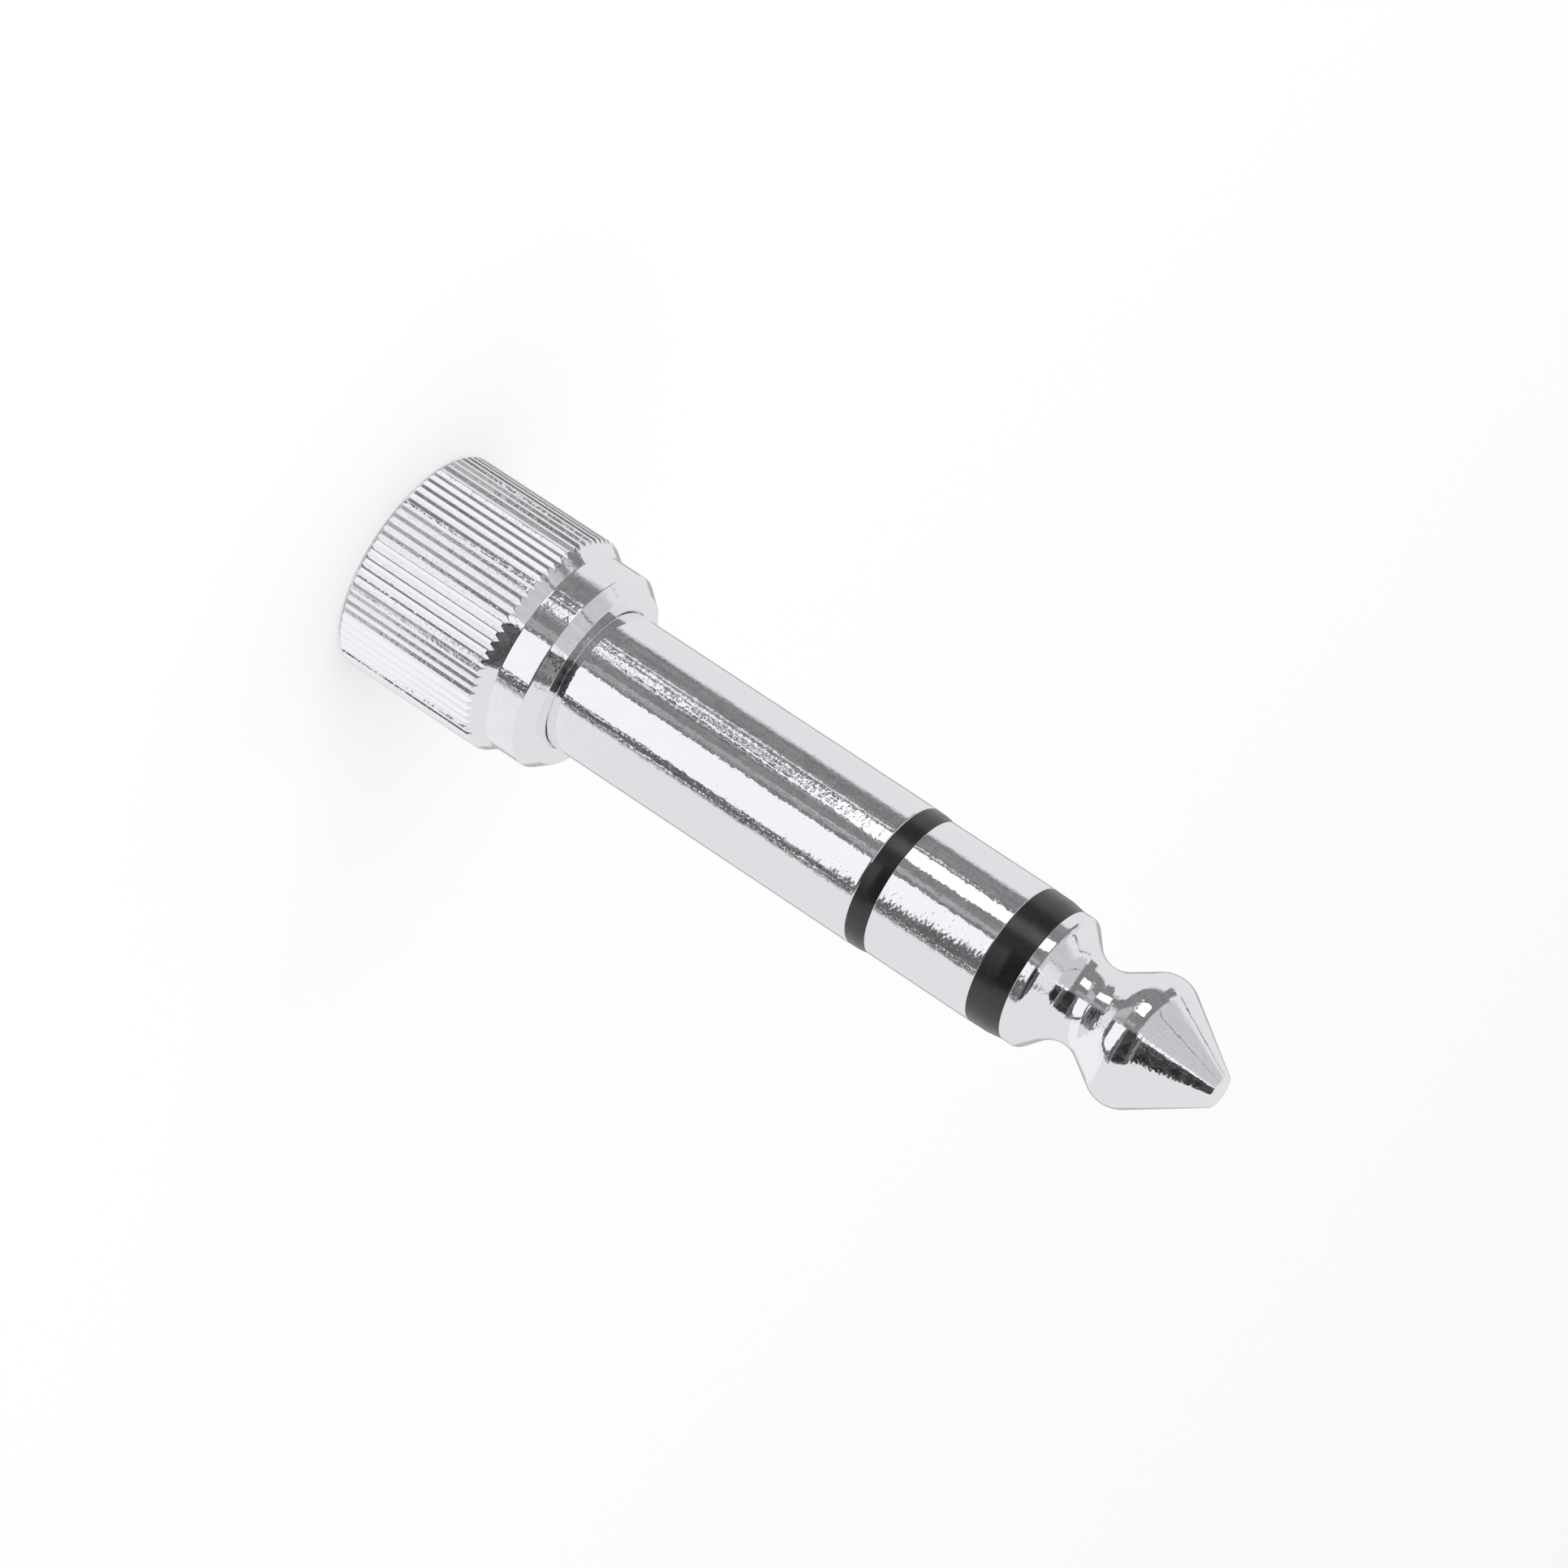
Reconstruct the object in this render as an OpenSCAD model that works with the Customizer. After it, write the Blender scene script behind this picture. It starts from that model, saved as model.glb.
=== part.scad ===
// Screw-on adapter: a 6.35 mm stereo plug whose knurled collar holds a 3.5 mm stereo socket.
// It stands on the collar's rear face at z = 0, with the plug's axis along +Z and its tip up.

/* [Collar] */
// Diameter over the ridges of the knurl
collar_d = 9.9; // [9.6:0.1:13]
// Length of the knurled grip, up to its front bevel
knurl_len = 6.68; // [5.5:0.01:9]
// Number of straight ridges round the grip
knurl_count = 72; // [48:1:90]
// Depth of the grooves between the ridges
knurl_depth = 0.1; // [0.06:0.01:0.22]
// Share of the pitch that is the flat top of a ridge
knurl_land = 0.45; // [0.3:0.01:0.6]
// Bevel on the rear edge of the grip
rear_bevel = 0.18; // [0.05:0.01:0.4]
// Length along the axis of the bevel from the grip down to the neck
grip_bevel_len = 0.66; // [0.2:0.01:0.8]
// Diameter of the plain neck in front of the grip
neck_d = 9; // [8.6:0.05:9.2]
// Length of the plain neck
neck_len = 1.43; // [0.8:0.01:3]
// Length along the axis of the bevel in front of the neck
front_bevel_len = 0.64; // [0.3:0.01:1]
// Diameter of the collar's flat front face
face_d = 8; // [7.4:0.02:8.5]
// Bevel on the front edge of the bore, which shows as a dark line round the shank
face_bevel = 0.12; // [0.05:0.01:0.3]

/* [Screw mouth] */
// Outer diameter of the thread that the small plug's body screws into
thread_d = 5.5; // [5.2:0.05:5.8]
// Pitch of that thread
thread_pitch = 0.5; // [0.35:0.05:0.7]
// Length of the threaded mouth
thread_len = 4; // [3:0.1:5]
// Bevel at the entry of the mouth
mouth_bevel = 0.35; // [0.1:0.05:0.6]

/* [Shank] */
// Diameter of the plug's shank
shank_d = 6.35; // [6.2:0.05:6.6]
// Diameter of the spigot behind the shank's shoulder, which is pressed into the collar
spigot_d = 6; // [5.85:0.05:6]
// Wall of the shank round the socket
sleeve_wall = 0.42; // [0.3:0.01:0.5]
// Length of shank that stands out of the collar
sleeve_len = 15.05; // [13:0.01:18]
// Width of the black ring behind the ring contact
rear_gap_len = 0.9; // [0.5:0.05:2]
// Width of the ring contact
band_len = 5; // [3:0.05:7]
// Diameter of the ring contact
band_d = 6.18; // [5.8:0.02:6.35]
// Width of the black ring behind the tip
front_gap_len = 1.55; // [0.8:0.05:3]
// How far the black rings stand below the metal beside them
ring_inset = 0.015; // [0.005:0.005:0.05]

/* [Tip] */
// Length of the tip, from the black ring to the nose
tip_len = 8.55; // [7.8:0.01:9.2]
// Diameter of the tip's straight base
tip_base_d = 5.94; // [5.7:0.02:6.2]
// Length of that base, up to its rounded corner
tip_base_len = 0.55; // [0.2:0.05:0.8]
// Slope from the base down into the groove, in degrees from the axis
groove_slope = 47.5; // [38:0.5:55]
// Slope from the groove up to the head, in degrees from the axis
head_slope = 32.5; // [28:0.5:36]
// Half angle of the nose cone, in degrees
nose_slope = 33.7; // [30:0.1:35]
// Length of the nose cone, from the head's corner to the blunt end
nose_len = 3.75; // [3.3:0.01:4]
// Diameter of the blunt end, before its edge is rounded
nose_d = 1.4; // [1.3:0.02:2]
// Rounding of the corner at the base
base_round = 0.35; // [0.1:0.01:0.5]
// Rounding of the bottom of the groove
groove_round = 1.35; // [0.8:0.05:1.7]
// Rounding of the head's widest place
head_round = 1.4; // [0.8:0.05:1.7]
// Rounding of the blunt end's edge
nose_round = 0.24; // [0.1:0.01:0.4]

/* [Socket] */
// Bore of the socket
socket_d = 3.6; // [3.55:0.01:3.7]
// Depth of the socket, from its bush to the web at its end
socket_depth = 14.3; // [14.1:0.05:15]
// Length of the brass bush at the socket's mouth
bush_len = 4; // [3:0.1:5]
// Bevel that leads the small plug into the bush
bush_bevel = 0.3; // [0.1:0.05:0.5]
// Length of the slits that let the bush grip the plug
slit_len = 2; // [1:0.1:2.5]
// Width of those slits
slit_w = 0.4; // [0.2:0.05:0.6]
// Number of slits
slit_count = 4; // [2:1:6]
// How far the bush's slit end stands back from the shank's wall
finger_relief = 0.28; // [0.15:0.01:0.4]
// Length of the cone that leads the small plug from the bush into the carrier
lead_len = 0.6; // [0.55:0.05:1]
// How much wider than the bore that cone starts, on each side
lead_step = 0.35; // [0.2:0.05:0.45]
// Web of the carrier behind the small plug's tip
web_t = 0.3; // [0.2:0.05:0.5]
// Least plastic between a contact spring's channel and the shank
carrier_skin = 0.3; // [0.2:0.01:0.35]
// Distance from the web back to the middle of the tip spring's bump
tip_bump_back = 3.05; // [2.6:0.05:3.6]
// Distance from the web back to the middle of the ring spring's bump
ring_bump_back = 5.6; // [5:0.05:6.4]
// How far the tip spring's bump reaches into the bore
tip_bump_reach = 0.5; // [0.3:0.01:0.6]
// How far the ring spring's bump reaches into the bore
ring_bump_reach = 0.37; // [0.2:0.01:0.5]

/* [Springs and insulation] */
// Thickness of the bronze sheet of the contact springs
spring_t = 0.2; // [0.15:0.01:0.25]
// Width of a contact spring's leaf
leaf_w = 1.2; // [0.8:0.05:1.4]
// Room beside a leaf in its channel, on each side
leaf_room = 0.15; // [0.1:0.01:0.2]
// Length along the axis of the slope from a leaf to its bump
ramp_len = 1.1; // [0.8:0.05:1.4]
// Length of the leaf's free end past its bump
toe_len = 0.75; // [0.5:0.05:1]
// Rounding of a leaf's bends
bend_round = 0.35; // [0.25:0.01:0.5]
// Diameter of the tip's rod
rod_d = 1.5; // [1.3:0.05:1.6]
// Wall of the insulating tubes round the rod and round the ring's tube
tube_wall = 0.4; // [0.3:0.01:0.45]
// Wall of the ring contact's tube
ring_tube_wall = 0.4; // [0.3:0.01:0.45]
// Thickness of the insulating washers
washer_t = 0.4; // [0.3:0.05:0.6]
// How far the washers and rivets overlap what they hold, on each side
overlap = 0.18; // [0.12:0.01:0.2]
// How much the rod and the ring's tube are stepped down to pass through a spring
neck_step = 0.15; // [0.1:0.01:0.18]
// Height of the rod's riveted end
rivet_h = 0.3; // [0.2:0.05:0.5]
// Height of the flared end of the ring's tube
flare_h = 0.15; // [0.1:0.01:0.25]
// Air between the rod's riveted end and the carrier's web
rivet_room = 0.2; // [0.1:0.05:0.4]
// Radial room of a pressed fit
press_fit = 0.01; // [0.005:0.005:0.02]
// Radial room of a piece that slides into its place
slide_fit = 0.03; // [0.02:0.01:0.05]

/* [Hidden] */
$fn = 120;
arc_steps = 10;
// Extra length by which a cut runs past the face it opens
past = 1;

brass_plate = "silver";
black_plastic = "#232326";
carrier_plastic = "#d9d6cb";
bronze = "#b98a4e";
bare_brass = "#c9a55c";
washer_board = "#7a4a2b";

// Stations along the axis, from the collar's rear face to the nose
grip_front = knurl_len + grip_bevel_len;
neck_front = grip_front + neck_len;
collar_front = neck_front + front_bevel_len;
shoulder = collar_front - face_bevel;
sleeve_front = collar_front + sleeve_len;
band_rear = sleeve_front + rear_gap_len;
band_front = band_rear + band_len;
tip_rear = band_front + front_gap_len;
tip_front = tip_rear + tip_len;

// Stations inside, from the screw mouth to the end of the shank's cavity
bush_front = thread_len + bush_len;
bore_end = thread_len + socket_depth;
pocket_floor = bore_end + web_t;
rivet_rear = pocket_floor + rivet_room;
tip_spring_rear = rivet_rear + rivet_h;
spring_washer_rear = tip_spring_rear + spring_t;
flare_rear = spring_washer_rear + washer_t;
ring_spring_rear = flare_rear + flare_h;
sleeve_washer_rear = ring_spring_rear + spring_t;
cavity_end = sleeve_washer_rear + washer_t;

// Radii of the pieces that pass through one another, from the rod outwards
rod_r = rod_d / 2;
front_tube_in = rod_r + slide_fit;
front_tube_out = front_tube_in + tube_wall;
ring_tube_in = front_tube_out + slide_fit;
ring_tube_out = ring_tube_in + ring_tube_wall;
rear_tube_in = ring_tube_out + slide_fit;
rear_tube_out = rear_tube_in + tube_wall;
sleeve_front_in = rear_tube_out + slide_fit;
shank_r = shank_d / 2;
band_r = band_d / 2;
tip_base_r = tip_base_d / 2;
spigot_r = spigot_d / 2;
cavity_r = shank_r - sleeve_wall;

// Radii in the cavity
thread_root = 1.0825 * thread_pitch / 2;
mouth_r = thread_d / 2 - thread_root;
socket_r = socket_d / 2;
bush_r = cavity_r - press_fit;
carrier_r = cavity_r - slide_fit;
channel_r = carrier_r - carrier_skin;
leaf_r = channel_r - spring_t;
flare_r = ring_tube_out + overlap;
spring_washer_r = flare_r + overlap;
pocket_r = spring_washer_r + leaf_room / 2;
rivet_r = rod_r + overlap;

// One step of the knurl, in degrees
knurl_pitch = 360 / knurl_count;

function unit(v) = v / norm(v);
function turned(r, a) = r * [cos(a), sin(a)];

// The arc that rounds the corner q between the points p and s
function corner(p, q, s, radius) =
    let (
        u = unit(p - q),
        w = unit(s - q),
        half = acos(u * w) / 2,
        middle = q + unit(u + w) * radius / sin(half),
        from = q + u * radius / tan(half) - middle,
        to = q + w * radius / tan(half) - middle,
        start = atan2(from[1], from[0]),
        turn = atan2(from[0] * to[1] - from[1] * to[0], from * to)
    )
    [for (i = [0 : arc_steps]) middle + turned(radius, start + turn * i / arc_steps)];

// A line of corners with each inner corner rounded by its own radius
function rounded(points, radii) = [
    for (i = [0 : len(points) - 1])
        each radii[i] == 0 ? [points[i]] : corner(points[i - 1], points[i], points[i + 1], radii[i])
];

// The outline of a strip of even thickness along a line
function side(path, i, shift) =
    let (
        back = i == 0 ? path[1] - path[0] : path[i] - path[i - 1],
        ahead = i == len(path) - 1 ? back : path[i + 1] - path[i],
        a = unit(back),
        b = unit(ahead),
        along = unit(a + b),
        widen = shift / (along * a)
    )
    path[i] + widen * [-along[1], along[0]];
function strip(path, t) = concat(
    [for (i = [0 : len(path) - 1]) side(path, i, t / 2)],
    [for (i = [len(path) - 1 : -1 : 0]) side(path, i, -t / 2)]
);

// Knurl: flat-topped ridges with a V groove between each two, and a groove on each main axis
function knurl_outline() = [
    for (i = [0 : knurl_count - 1])
        each [
            turned(collar_d / 2 - knurl_depth, knurl_pitch * i),
            turned(collar_d / 2, knurl_pitch * (i + 0.5 - knurl_land / 2)),
            turned(collar_d / 2, knurl_pitch * (i + 0.5 + knurl_land / 2))
        ]
];

// Half outline of the collar's outside, which bevels the ends of the ridges
module collar_form() {
    rotate_extrude()
        polygon([
            [0, 0],
            [collar_d / 2 - rear_bevel, 0],
            [collar_d / 2, rear_bevel],
            [collar_d / 2, knurl_len],
            [neck_d / 2, grip_front],
            [neck_d / 2, neck_front],
            [face_d / 2, collar_front],
            [0, collar_front]
        ]);
}

module knurled_collar() {
    seat_r = spigot_r + press_fit;
    recess_r = shank_r + press_fit;
    color(brass_plate)
        difference() {
            intersection() {
                linear_extrude(collar_front)
                    polygon(knurl_outline());
                collar_form();
            }
            translate([0, 0, -past])
                cylinder(r = mouth_r, h = thread_len + 2 * past);
            translate([0, 0, thread_len])
                cylinder(r = seat_r, h = collar_front - thread_len + past);
            cylinder(r1 = mouth_r + mouth_bevel, r2 = mouth_r, h = mouth_bevel);
            translate([0, 0, shoulder])
                cylinder(r1 = recess_r, r2 = recess_r + face_bevel, h = face_bevel);
        }
}

// Turned tube: its spigot is pressed into the collar up to the shoulder, and its front is stepped in
module plug_sleeve() {
    color(brass_plate)
        difference() {
            union() {
                translate([0, 0, thread_len])
                    cylinder(r = spigot_r, h = shoulder - thread_len);
                translate([0, 0, shoulder])
                    cylinder(r = shank_r, h = sleeve_front - shoulder);
            }
            translate([0, 0, thread_len - past])
                cylinder(r = cavity_r, h = cavity_end - thread_len + past);
            cylinder(r = sleeve_front_in, h = sleeve_front + past);
        }
}

// A moulded ring that joins the radii of the metal beside it, with the tube that runs back from it
module flanged_tube(rear_r, front_r, tube_r, bore_r, rear, ring_rear, front) {
    difference() {
        union() {
            translate([0, 0, rear])
                cylinder(r = tube_r, h = front - rear);
            translate([0, 0, ring_rear])
                cylinder(r1 = rear_r - ring_inset, r2 = front_r - ring_inset, h = front - ring_rear);
        }
        cylinder(r = bore_r, h = front + past);
    }
}

module rear_insulator() {
    color(black_plastic)
        flanged_tube(shank_r, band_r, rear_tube_out, rear_tube_in, cavity_end, sleeve_front, band_rear);
}

module front_insulator() {
    color(black_plastic)
        flanged_tube(band_r, tip_base_r, front_tube_out, front_tube_in, flare_rear, band_front, tip_rear);
}

// Turned ring and tube in one piece, with the tube's rear end flared over the ring spring
module ring_contact() {
    neck_r = ring_tube_out - neck_step;
    color(brass_plate)
        rotate_extrude()
            polygon([
                [ring_tube_in, flare_rear],
                [flare_r - flare_h / 2, flare_rear],
                [flare_r, flare_rear + flare_h / 2],
                [flare_r, ring_spring_rear],
                [neck_r, ring_spring_rear],
                [neck_r, sleeve_washer_rear],
                [ring_tube_out, sleeve_washer_rear],
                [ring_tube_out, band_rear],
                [band_r, band_rear],
                [band_r, band_front],
                [ring_tube_in, band_front]
            ]);
}

// Half outline of the tip: base, groove, head and nose, with every corner rounded
function tip_outline() =
    let (
        base = [tip_base_r, tip_rear + tip_base_len],
        nose = [nose_d / 2, tip_front],
        head = [nose_d / 2 + nose_len * tan(nose_slope), tip_front - nose_len],
        fall = tan(groove_slope),
        rise = tan(head_slope),
        drop = (base[0] - head[0] + rise * (head[1] - base[1])) / (fall + rise),
        groove = [base[0] - fall * drop, base[1] + drop]
    )
    rounded(
        [[tip_base_r, tip_rear], base, groove, head, nose, [0, tip_front]],
        [0, base_round, groove_round, head_round, nose_round, 0]
    );

// Turned tip and rod in one piece, with the rod's rear end riveted over the tip spring
module tip_contact() {
    neck_r = rod_r - neck_step;
    color(brass_plate)
        rotate_extrude()
            polygon(concat(
                [
                    [0, rivet_rear],
                    [rivet_r - rivet_h / 2, rivet_rear],
                    [rivet_r, rivet_rear + rivet_h / 2],
                    [rivet_r, tip_spring_rear],
                    [neck_r, tip_spring_rear],
                    [neck_r, spring_washer_rear],
                    [rod_r, spring_washer_rear],
                    [rod_r, tip_rear]
                ],
                tip_outline()
            ));
}

// Brass bush at the socket's mouth: its slit front end grips the small plug's sleeve
module socket_bush() {
    relief_rear = bush_front - slit_len;
    color(bare_brass)
        difference() {
            translate([0, 0, thread_len])
                cylinder(r = bush_r, h = bush_len);
            cylinder(r = socket_r, h = bush_front + past);
            translate([0, 0, thread_len])
                cylinder(r1 = socket_r + bush_bevel, r2 = socket_r, h = bush_bevel);
            difference() {
                translate([0, 0, relief_rear])
                    cylinder(r = bush_r + past, h = slit_len + past);
                cylinder(r = bush_r - finger_relief, h = bush_front + 2 * past);
            }
            for (i = [0 : slit_count - 1])
                rotate([0, 0, 360 / slit_count * (i + 0.5)])
                    translate([0, -slit_w / 2, relief_rear])
                        cube([cavity_r, slit_w, slit_len + past]);
        }
}

// The channel that a contact spring's leaf lies in, open to the bore and to the carrier's front
module leaf_channel(bump_z) {
    channel_w = leaf_w + 2 * leaf_room;
    channel_rear = bump_z - toe_len - leaf_room;
    inner_x = sqrt(pow(socket_r, 2) - pow(channel_w / 2, 2)) - leaf_room;
    translate([inner_x, -channel_w / 2, channel_rear])
        cube([channel_r - inner_x, channel_w, ring_spring_rear - channel_rear + past]);
}

// Moulded carrier: socket bore with a lead-in, two channels for the springs and a pocket for the rivets
module contact_carrier() {
    color(carrier_plastic)
        difference() {
            translate([0, 0, bush_front])
                cylinder(r = carrier_r, h = ring_spring_rear - bush_front);
            translate([0, 0, bush_front - past])
                cylinder(r = socket_r, h = bore_end - bush_front + past);
            translate([0, 0, bush_front])
                cylinder(r1 = socket_r + lead_step, r2 = socket_r, h = lead_len);
            translate([0, 0, pocket_floor])
                cylinder(r = pocket_r, h = ring_spring_rear - pocket_floor + past);
            leaf_channel(bore_end - ring_bump_back);
            rotate([0, 0, 180])
                leaf_channel(bore_end - tip_bump_back);
        }
}

// One bent leaf, from its root in the spring's disc to the toe past its bump
module leaf(root_z, bump_z, bump_reach) {
    run_r = leaf_r + spring_t / 2 - leaf_room / 2;
    bump_r = socket_r - bump_reach + spring_t / 2;
    path = rounded(
        [
            [run_r, root_z],
            [run_r, bump_z + ramp_len],
            [bump_r, bump_z],
            [(bump_r + run_r) / 2, bump_z - toe_len + spring_t]
        ],
        [0, bend_round, bend_round, 0]
    );
    translate([0, leaf_w / 2, 0])
        rotate([90, 0, 0])
            linear_extrude(leaf_w)
                polygon(strip(path, spring_t));
}

// Stamped spring on the flared end of the ring's tube, with its leaf on the +X side
module ring_spring() {
    disc_r = leaf_r + spring_t - leaf_room / 2;
    hole_r = ring_tube_out - neck_step + slide_fit;
    color(bronze) {
        union() {
            difference() {
                translate([0, 0, ring_spring_rear])
                    cylinder(r = disc_r, h = spring_t);
                cylinder(r = hole_r, h = cavity_end);
            }
            leaf(ring_spring_rear + spring_t, bore_end - ring_bump_back, ring_bump_reach);
        }
    }
}

// Stamped spring on the riveted end of the rod, with its leaf on the -X side
module tip_spring() {
    arm_len = leaf_r + spring_t - leaf_room / 2;
    disc_r = spring_washer_r - 2 * overlap;
    hole_r = rod_r - neck_step + slide_fit;
    color(bronze)
        rotate([0, 0, 180])
            union() {
                difference() {
                    union() {
                        translate([0, 0, tip_spring_rear])
                            cylinder(r = disc_r, h = spring_t);
                        translate([0, -leaf_w / 2, tip_spring_rear])
                            cube([arm_len, leaf_w, spring_t]);
                    }
                    cylinder(r = hole_r, h = cavity_end);
                }
                leaf(tip_spring_rear + spring_t, bore_end - tip_bump_back, tip_bump_reach);
            }
}

module washer(outer_r, inner_r, rear) {
    color(washer_board)
        translate([0, 0, rear])
            difference() {
                cylinder(r = outer_r, h = washer_t);
                translate([0, 0, -past])
                    cylinder(r = inner_r, h = washer_t + 2 * past);
            }
}

// Keeps the tip spring off the flared end of the ring's tube
module spring_washer() {
    washer(spring_washer_r, rod_r + slide_fit, spring_washer_rear);
}

// Keeps the ring spring off the step inside the shank
module sleeve_washer() {
    washer(carrier_r, ring_tube_out + slide_fit, sleeve_washer_rear);
}

knurled_collar();
plug_sleeve();
rear_insulator();
ring_contact();
front_insulator();
tip_contact();
socket_bush();
contact_carrier();
ring_spring();
tip_spring();
spring_washer();
sleeve_washer();
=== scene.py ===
# %% [markdown]
# A screw-on jack adapter: a 6.35 mm stereo plug whose knurled collar holds a 3.5 mm socket.
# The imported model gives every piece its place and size. This script dresses it: it turns finer
# meshes for the plated pieces, gives each surface its finish, and lights it in a small studio.

# %% Load the frame
import math

import bpy
import bmesh
from mathutils import Matrix, Vector


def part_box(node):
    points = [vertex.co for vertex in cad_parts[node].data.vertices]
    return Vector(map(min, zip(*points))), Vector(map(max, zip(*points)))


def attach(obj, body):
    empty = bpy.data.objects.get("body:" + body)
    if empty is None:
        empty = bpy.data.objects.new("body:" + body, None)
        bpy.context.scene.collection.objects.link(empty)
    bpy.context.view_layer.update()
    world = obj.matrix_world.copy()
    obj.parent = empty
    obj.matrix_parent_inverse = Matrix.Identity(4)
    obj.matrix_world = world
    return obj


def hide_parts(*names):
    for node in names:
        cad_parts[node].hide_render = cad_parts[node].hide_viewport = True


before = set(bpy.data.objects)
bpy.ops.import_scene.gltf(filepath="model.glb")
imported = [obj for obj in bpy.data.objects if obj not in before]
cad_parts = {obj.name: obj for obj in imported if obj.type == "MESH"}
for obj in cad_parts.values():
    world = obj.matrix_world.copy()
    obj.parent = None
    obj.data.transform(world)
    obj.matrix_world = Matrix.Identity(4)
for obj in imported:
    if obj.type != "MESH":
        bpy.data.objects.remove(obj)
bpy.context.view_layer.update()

MM = 0.001
print("CAD nodes:", sorted(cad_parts))

# %% [markdown]
# Every place along the axis comes from the frame, so that a dressed piece can't drift from the
# part that it stands for. The adapter stands on its collar, and Z runs up to the tip. Only the
# sizes that a box can't tell, such as a bevel or the bottom of a groove, are written as numbers.

# %% Stations and radii, in millimetres
BODY = "root"


def top(node):
    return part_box(node)[1][2] / MM


def bottom(node):
    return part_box(node)[0][2] / MM


def radius(node):
    low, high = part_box(node)
    return max(high[0] - low[0], high[1] - low[1]) / 2 / MM


collar_front = top("knurled_collar")
sleeve_front = top("plug_sleeve")
band_rear = top("rear_insulator")
band_front = top("ring_contact")
tip_rear = top("front_insulator")
tip_front = top("tip_contact")
thread_len = bottom("plug_sleeve")
cavity_end = bottom("rear_insulator")
tube_rear = bottom("front_insulator")

collar_r = 4.95
shank_r = radius("plug_sleeve")
band_r = radius("ring_contact")
tip_base_r = 2.97

stations = (collar_front, sleeve_front, band_rear, band_front, tip_rear, tip_front)
print("stations", [round(z, 2) for z in stations])

# %% [markdown]
# The camera comes first, because every choice after it is judged through it. The photograph
# looks down on the standing adapter by about 19 degrees from 300 mm away, and the picture is
# turned so that the tip points to the lower right. The turn is a roll of the camera, and the
# object stays upright in its frame.

# %% Camera
TILT = math.radians(19.18)
AXIS_IN_PICTURE = math.radians(33.44)
DISTANCE = 300 * MM
LENS = 172.96
AIM_HEIGHT = 17.06 * MM
AIM_ALONG = -1.373 * MM
AIM_ACROSS = 0.661 * MM

to_camera = Vector((0, -math.cos(TILT), math.sin(TILT)))
along_axis = Vector((0, math.sin(TILT), math.cos(TILT)))
across_axis = Vector((1, 0, 0))
right = math.cos(AXIS_IN_PICTURE) * along_axis - math.sin(AXIS_IN_PICTURE) * across_axis
up = -math.sin(AXIS_IN_PICTURE) * along_axis - math.cos(AXIS_IN_PICTURE) * across_axis
aim = Vector((0, 0, AIM_HEIGHT)) - AIM_ALONG * along_axis - AIM_ACROSS * across_axis

camera_data = bpy.data.cameras.new("camera")
camera_data.lens = LENS
camera_data.sensor_width = 36
camera_data.clip_start = 0.01
camera = bpy.data.objects.new("camera", camera_data)
bpy.context.scene.collection.objects.link(camera)
turn = Matrix((right, up, to_camera)).transposed().to_4x4()
camera.matrix_world = Matrix.Translation(aim + DISTANCE * to_camera) @ turn
bpy.context.scene.camera = camera
print("camera at", [round(c / MM, 1) for c in camera.location], "mm")

# %% [markdown]
# A turned piece is an outline spun round the axis, as on the lathe that made it. The outline
# here is a short list of corners, each with the radius that its edge is broken to: real edges
# are never sharp, and it is the small round that catches the light. Next to each round the
# outline gets a holding point, so that smooth shading stays flat on the flat stretches.

# %% Outline of a turned piece
HOLD = 0.004


def round_corner(p, q, s, size, steps):
    u = (p - q).normalized()
    w = (s - q).normalized()
    half = u.angle(w) / 2
    reach = size / math.tan(half)
    middle = q + (u + w).normalized() * size / math.sin(half)
    start = q + u * reach - middle
    turned = start.angle_signed(q + w * reach - middle)
    points = [q + u * (reach + HOLD)]
    for i in range(steps + 1):
        a = -turned * i / steps
        c, d = math.cos(a), math.sin(a)
        points.append(middle + Vector((c * start.x - d * start.y, d * start.x + c * start.y)))
    points.append(q + w * (reach + HOLD))
    return points


def outline(corners, closed=True, steps=6):
    points = []
    count = len(corners)
    for i, (r, z, size) in enumerate(corners):
        q = Vector((r, z))
        if size == 0:
            points.append(q)
            continue
        p = Vector(corners[i - 1][:2])
        s = Vector(corners[(i + 1) % count][:2])
        points += round_corner(p, q, s, size, steps if size < 0.5 else 4 * steps)
    return points


# %% [markdown]
# The spin itself is a grid of quads. A closed outline makes a ring, such as a tube, and an
# outline that starts and ends on the axis makes a solid, whose two poles are closed by fans.

# %% Lathe
SEGMENTS = 240


def lathe(name, corners, steps=6):
    points = outline(corners, steps=steps)
    solid = points[0].x == 0 and points[-1].x == 0
    mesh = bmesh.new()
    rings = []
    for p in points:
        if p.x == 0:
            rings.append([mesh.verts.new((0, 0, p.y * MM))])
            continue
        ring = []
        for k in range(SEGMENTS):
            a = 2 * math.pi * k / SEGMENTS
            ring.append(mesh.verts.new((p.x * MM * math.cos(a), p.x * MM * math.sin(a), p.y * MM)))
        rings.append(ring)
    last = len(rings) - 1 if solid else len(rings)
    for i in range(last):
        low, high = rings[i], rings[(i + 1) % len(rings)]
        for k in range(SEGMENTS):
            n = (k + 1) % SEGMENTS
            if len(low) == 1:
                mesh.faces.new((low[0], high[k], high[n]))
            elif len(high) == 1:
                mesh.faces.new((low[k], low[n], high[0]))
            else:
                mesh.faces.new((low[k], low[n], high[n], high[k]))
    bmesh.ops.recalc_face_normals(mesh, faces=mesh.faces)
    return new_piece(name, mesh)


def new_piece(name, mesh):
    data = bpy.data.meshes.new(name)
    mesh.to_mesh(data)
    mesh.free()
    piece = bpy.data.objects.new(name, data)
    bpy.context.scene.collection.objects.link(piece)
    finish_mesh(piece)
    return piece


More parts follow.
